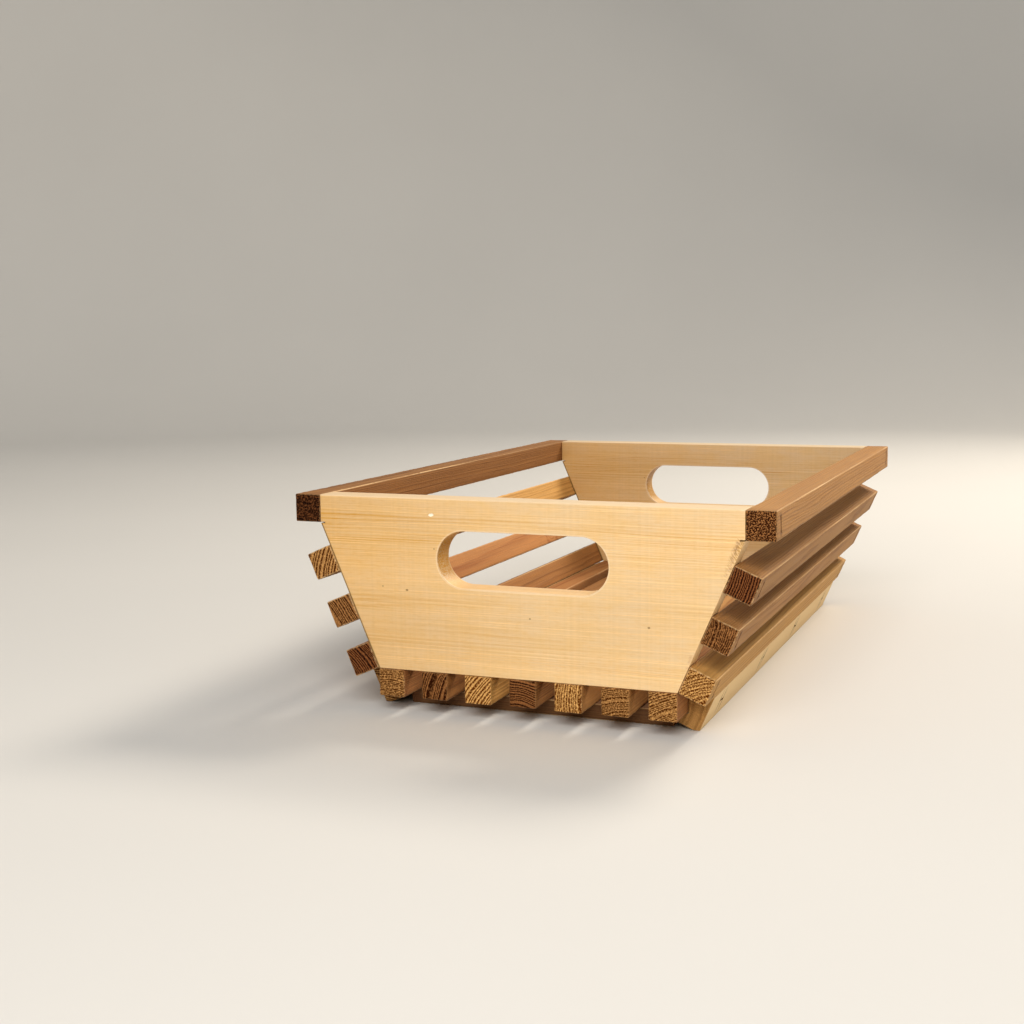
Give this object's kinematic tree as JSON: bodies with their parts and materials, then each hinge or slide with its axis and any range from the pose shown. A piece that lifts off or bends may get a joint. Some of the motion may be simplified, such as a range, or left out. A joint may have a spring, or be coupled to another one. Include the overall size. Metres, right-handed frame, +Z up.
{
  "type": "slatted harvest basket",
  "caption": "Shallow wooden harvest basket with sloping slatted sides, a slatted floor, end panels with hand slots, two base runners and two cross battens.",
  "frame": {"origin": "centre of the base, on the plane that the two runners and the two cross battens stand on", "axes": "+X to the right across the basket, +Y along its length towards the rear panel, +Z up"},
  "size_m": [0.3316, 0.5, 0.1473],
  "materials": {
    "pale_pine": "planed pale softwood, clear satin",
    "tan_pine": "sawn tan softwood",
    "red_pine": "sawn reddish softwood",
    "dark_pine": "sawn dark softwood",
    "gold_pine": "sawn golden softwood",
    "zinc_wire": "dull zinc-coated wire"
  },
  "bodies": {
    "root": {"front_end_panel": "pale_pine", "rear_end_panel": "pale_pine", "left_top_rail": "dark_pine", "left_side_slat_1": "gold_pine", "left_side_slat_2": "red_pine", "left_side_slat_3": "dark_pine", "left_base_runner": "gold_pine", "right_top_rail": "tan_pine", "right_side_slat_1": "tan_pine", "right_side_slat_2": "tan_pine", "right_side_slat_3": "gold_pine", "right_base_runner": "gold_pine", "floor_slat_1": "red_pine", "floor_slat_2": "dark_pine", "floor_slat_3": "gold_pine", "floor_slat_4": "dark_pine", "floor_slat_5": "tan_pine", "floor_slat_6": "tan_pine", "floor_slat_7": "red_pine", "front_floor_batten": "red_pine", "rear_floor_batten": "dark_pine", "left_top_rail_front_staple": "zinc_wire", "left_top_rail_rear_staple": "zinc_wire", "left_side_slat_1_front_staple": "zinc_wire", "left_side_slat_1_rear_staple": "zinc_wire", "left_side_slat_2_front_staple": "zinc_wire", "left_side_slat_2_rear_staple": "zinc_wire", "left_side_slat_3_front_staple": "zinc_wire", "left_side_slat_3_rear_staple": "zinc_wire", "left_runner_1_staple": "zinc_wire", "left_runner_2_staple": "zinc_wire", "left_runner_3_staple": "zinc_wire", "left_runner_4_staple": "zinc_wire", "right_top_rail_front_staple": "zinc_wire", "right_top_rail_rear_staple": "zinc_wire", "right_side_slat_1_front_staple": "zinc_wire", "right_side_slat_1_rear_staple": "zinc_wire", "right_side_slat_2_front_staple": "zinc_wire", "right_side_slat_2_rear_staple": "zinc_wire", "right_side_slat_3_front_staple": "zinc_wire", "right_side_slat_3_rear_staple": "zinc_wire", "right_runner_1_staple": "zinc_wire", "right_runner_2_staple": "zinc_wire", "right_runner_3_staple": "zinc_wire", "right_runner_4_staple": "zinc_wire", "floor_slat_1_front_staple": "zinc_wire", "floor_slat_1_rear_staple": "zinc_wire", "floor_slat_2_front_staple": "zinc_wire", "floor_slat_2_rear_staple": "zinc_wire", "floor_slat_3_front_staple": "zinc_wire", "floor_slat_3_rear_staple": "zinc_wire", "floor_slat_4_front_staple": "zinc_wire", "floor_slat_4_rear_staple": "zinc_wire", "floor_slat_5_front_staple": "zinc_wire", "floor_slat_5_rear_staple": "zinc_wire", "floor_slat_6_front_staple": "zinc_wire", "floor_slat_6_rear_staple": "zinc_wire", "floor_slat_7_front_staple": "zinc_wire", "floor_slat_7_rear_staple": "zinc_wire"}
  },
  "joints": []
}
